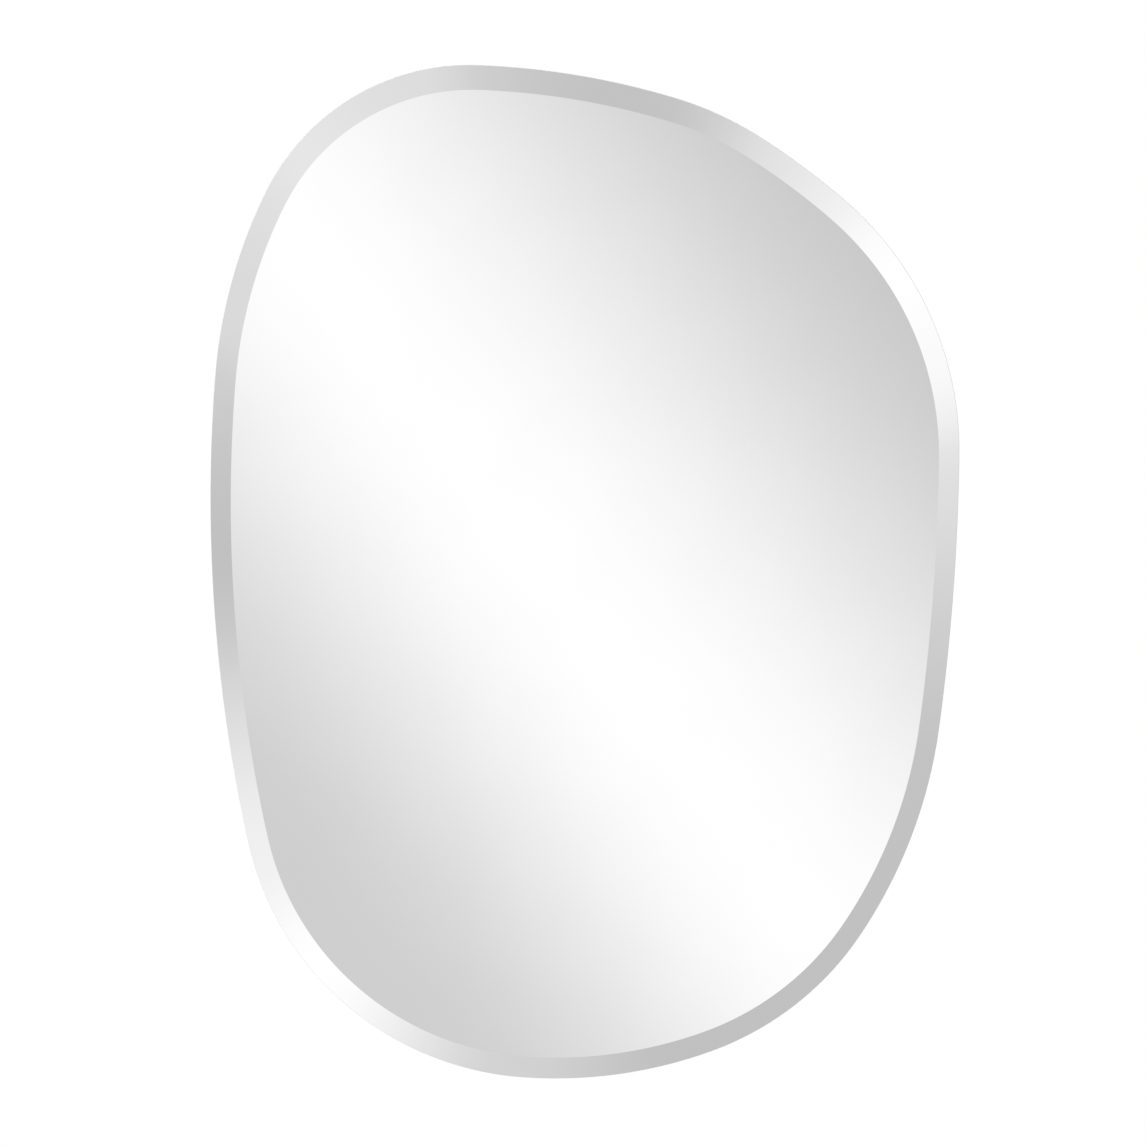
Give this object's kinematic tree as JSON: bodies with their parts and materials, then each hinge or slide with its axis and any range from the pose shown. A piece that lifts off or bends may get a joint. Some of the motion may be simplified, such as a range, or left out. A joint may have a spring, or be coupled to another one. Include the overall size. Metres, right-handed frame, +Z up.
{
  "type": "irregular wall mirror",
  "caption": "Frameless wall mirror with an irregular rounded outline and a ground bevel, on a fibreboard backing with swinging D-ring hangers and rubber wall bumpers.",
  "frame": {"origin": "middle of the pane's outline, on the plane of the wall that the bumpers rest on", "axes": "+X to the right seen from the front, +Y from the mirror into the wall, +Z up; the reflecting face looks along -Y"},
  "size_m": [0.6672, 0.0219, 0.9138],
  "materials": {
    "bevelled_glass": "polished float glass with a ground and polished bevel, silvered behind",
    "silver": "chemically deposited silver",
    "backing_paint": "matt grey protective paint",
    "safety_film": "woven-look plastic film, satin",
    "foam_tape": "closed-cell foam",
    "adhesive": "cured mirror adhesive",
    "fibreboard": "plain medium-density fibreboard",
    "plated_strap": "zinc plated",
    "plated_wire": "zinc plated",
    "screw_steel": "zinc plated",
    "bumper_rubber": "soft black rubber"
  },
  "bodies": {
    "mirror": {"glass_pane": "bevelled_glass", "silver_coating": "silver", "backing_paint": "backing_paint", "safety_film": "safety_film", "foam_tape_left": "foam_tape", "foam_tape_right": "foam_tape", "foam_tape_upper": "foam_tape", "foam_tape_lower": "foam_tape", "adhesive_bead_left": "adhesive", "adhesive_bead_middle": "adhesive", "adhesive_bead_right": "adhesive", "backing_board": "fibreboard", "hanger_strap_top_left": "plated_strap", "hanger_strap_top_right": "plated_strap", "hanger_strap_side_upper": "plated_strap", "hanger_strap_side_lower": "plated_strap", "hanger_screw_top_left_near": "screw_steel", "hanger_screw_top_left_far": "screw_steel", "hanger_screw_top_right_near": "screw_steel", "hanger_screw_top_right_far": "screw_steel", "hanger_screw_side_upper_near": "screw_steel", "hanger_screw_side_upper_far": "screw_steel", "hanger_screw_side_lower_near": "screw_steel", "hanger_screw_side_lower_far": "screw_steel", "wall_bumper_top_left": "bumper_rubber", "wall_bumper_upper_right": "bumper_rubber", "wall_bumper_lower_left": "bumper_rubber", "wall_bumper_lower_right": "bumper_rubber"},
    "ring_top_left": {"d_ring_top_left": "plated_wire"},
    "ring_top_right": {"d_ring_top_right": "plated_wire"},
    "ring_side_upper": {"d_ring_side_upper": "plated_wire"},
    "ring_side_lower": {"d_ring_side_lower": "plated_wire"}
  },
  "joints": [
    {"name": "swing_top_left", "type": "hinge", "parent": "mirror", "child": "ring_top_left", "pos_m": [-0.17, -0.0038, 0.255], "axis": [-1, 0, 0], "range_deg": [0, 177]},
    {"name": "swing_top_right", "type": "hinge", "parent": "mirror", "child": "ring_top_right", "pos_m": [0.17, -0.0038, 0.255], "axis": [-1, 0, 0], "range_deg": [0, 177]},
    {"name": "swing_side_upper", "type": "hinge", "parent": "mirror", "child": "ring_side_upper", "pos_m": [0.235, -0.0038, 0.12], "axis": [0, 0, 1], "range_deg": [0, 177]},
    {"name": "swing_side_lower", "type": "hinge", "parent": "mirror", "child": "ring_side_lower", "pos_m": [0.235, -0.0038, -0.12], "axis": [0, 0, 1], "range_deg": [0, 177]}
  ]
}
